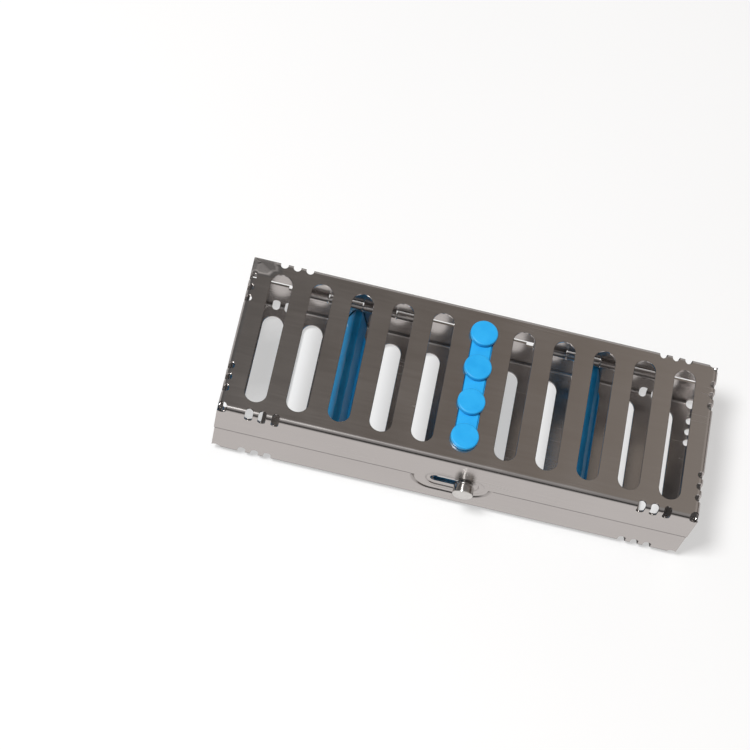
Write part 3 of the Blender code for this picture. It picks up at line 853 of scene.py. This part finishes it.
def make_key_light():
    """A soft square light high at the left, aimed at the object."""
    data = bpy.data.lights.new("key", "AREA")
    data.size = KEY_SIZE
    data.energy = KEY_POWER
    light = bpy.data.objects.new("key", data)
    light.location = KEY_PLACE
    light.rotation_euler = (-Vector(KEY_PLACE)).to_track_quat("-Z", "Y").to_euler()
    bpy.context.scene.collection.objects.link(light)


def blended(tree, share, first, second):
    mix = tree.nodes.new("ShaderNodeMix")
    mix.data_type = "RGBA"
    tree.links.new(share, mix.inputs["Factor"])
    tree.links.new(first, mix.inputs["A"])
    tree.links.new(second, mix.inputs["B"])
    return mix.outputs["Result"]


def grey(level):
    """A faintly warm grey."""
    return level, level * 0.97, level * 0.955


def make_world():
    """A soft studio for the steel to mirror.

    It has a pale floor in front, a dark horizon, a pale band high in front and a dim, warm ceiling at the
    back, which grows paler to the right.
    """
    world = bpy.data.worlds.new("studio")
    world.use_nodes = True
    tree = world.node_tree
    axes = tree.nodes.new("ShaderNodeSeparateXYZ")
    tree.links.new(tree.nodes.new("ShaderNodeTexCoord").outputs["Generated"], axes.inputs["Vector"])
    x, y, z = axes.outputs
    # 0.25 straight down, 0.5 the front horizon, 0.75 overhead, 1 the back horizon
    turn = shader_math(tree, "ARCTAN2", z, shader_math(tree, "MULTIPLY", y, -1))
    arch = shader_math(tree, "MULTIPLY_ADD", turn, 0.5 / math.pi)
    arch.node.inputs[2].default_value = 0.5
    across = shader_math(tree, "MULTIPLY_ADD", x, 0.5)  # 0 at the left, 1 at the right
    across.node.inputs[2].default_value = 0.5
    height = shader_math(tree, "MULTIPLY_ADD", z, 0.5)  # 0 straight down, 1 overhead
    height.node.inputs[2].default_value = 0.5

    middle = colour_ramp(tree, arch, [
        (0.0, grey(0.45)), (0.08, grey(0.35)), (0.14, grey(0.07)), (0.22, grey(0.07)), (0.27, grey(0.40)),
        (0.30, grey(0.90)), (0.42, grey(0.90)), (0.46, grey(0.45)), (0.49, grey(0.07)), (0.56, grey(0.07)),
        (0.61, grey(0.37)), (0.73, grey(0.36)), (0.78, grey(0.14)), (0.87, grey(0.16)), (0.92, grey(0.60)),
        (1.0, grey(0.72)),
    ])
    ceiling = colour_ramp(tree, across, [
        (0.0, grey(0.14)), (0.485, grey(0.14)), (0.52, (0.165, 0.148, 0.132)),
        (0.545, (0.218, 0.177, 0.148)), (0.57, (0.29, 0.25, 0.215)),
        (0.60, (0.41, 0.372, 0.336)), (0.70, (0.50, 0.46, 0.43)),
    ])
    left = colour_ramp(tree, height, [
        (0.0, grey(0.75)), (0.45, grey(0.70)), (0.52, grey(0.20)), (0.62, grey(0.15)), (1.0, grey(0.13)),
    ])
    right = colour_ramp(tree, height, [
        (0.0, grey(0.75)), (0.45, grey(0.70)), (0.52, (0.12, 0.09, 0.075)), (0.62, (0.12, 0.09, 0.075)),
        (0.70, (0.42, 0.38, 0.35)), (0.85, (0.50, 0.46, 0.43)),
    ])
    ceiling_share = colour_ramp(tree, arch, [
        (0.73, grey(0)), (0.78, (1, 1, 1)), (0.87, (1, 1, 1)), (0.92, grey(0)),
    ])
    left_share = colour_ramp(tree, across, [(0.12, (1, 1, 1)), (0.34, grey(0))])
    right_share = colour_ramp(tree, across, [(0.66, grey(0)), (0.88, (1, 1, 1))])
    colour = blended(tree, ceiling_share, middle, ceiling)
    colour = blended(tree, left_share, colour, left)
    colour = blended(tree, right_share, colour, right)
    tree.links.new(colour, tree.nodes["Background"].inputs["Color"])
    bpy.context.scene.world = world


def make_camera():
    data = bpy.data.cameras.new("camera")
    data.lens = CAMERA_LENS
    data.sensor_width = 36
    data.clip_start = 0.01
    camera = bpy.data.objects.new("camera", data)
    camera.location = Vector(CAMERA_FROM_LID) + Vector((0, CASE_Y, TOP_Z))
    camera.rotation_euler = Euler([math.radians(angle) for angle in CAMERA_TURN], "XYZ")
    bpy.context.scene.collection.objects.link(camera)
    bpy.context.scene.camera = camera


# ---------------------------------------------------------------- the object

make_camera()
make_world()
make_floor()
make_key_light()
bpy.context.scene.view_settings.view_transform = "Standard"

steel_x = brushed_steel("brushed_stainless", "X")
steel_z = brushed_steel("brushed_stainless_upright", "Z")
polished = polished_steel()
silicone = blue_silicone()

for shell, node, body in ((make_base(), "base_shell", "base"), (make_lid(), "lid_shell", "lid")):
    paint_tray(shell, steel_x, steel_z)
    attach(shell, body)
    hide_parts(node)

rails = []
for name, node, body, place in (
    ("rail_left", "base_rail_left", "base", BASE_PLACE),
    ("rail_right", "base_rail_right", "base", BASE_PLACE),
    ("rail_lid", "lid_rail", "lid", LID_PLACE),
):
    low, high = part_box(node)
    rails.append(rail(name, node, body, (low.x + high.x) / 2, place))
paint(rails, silicone)
paint(make_latch() + make_pins(), polished)
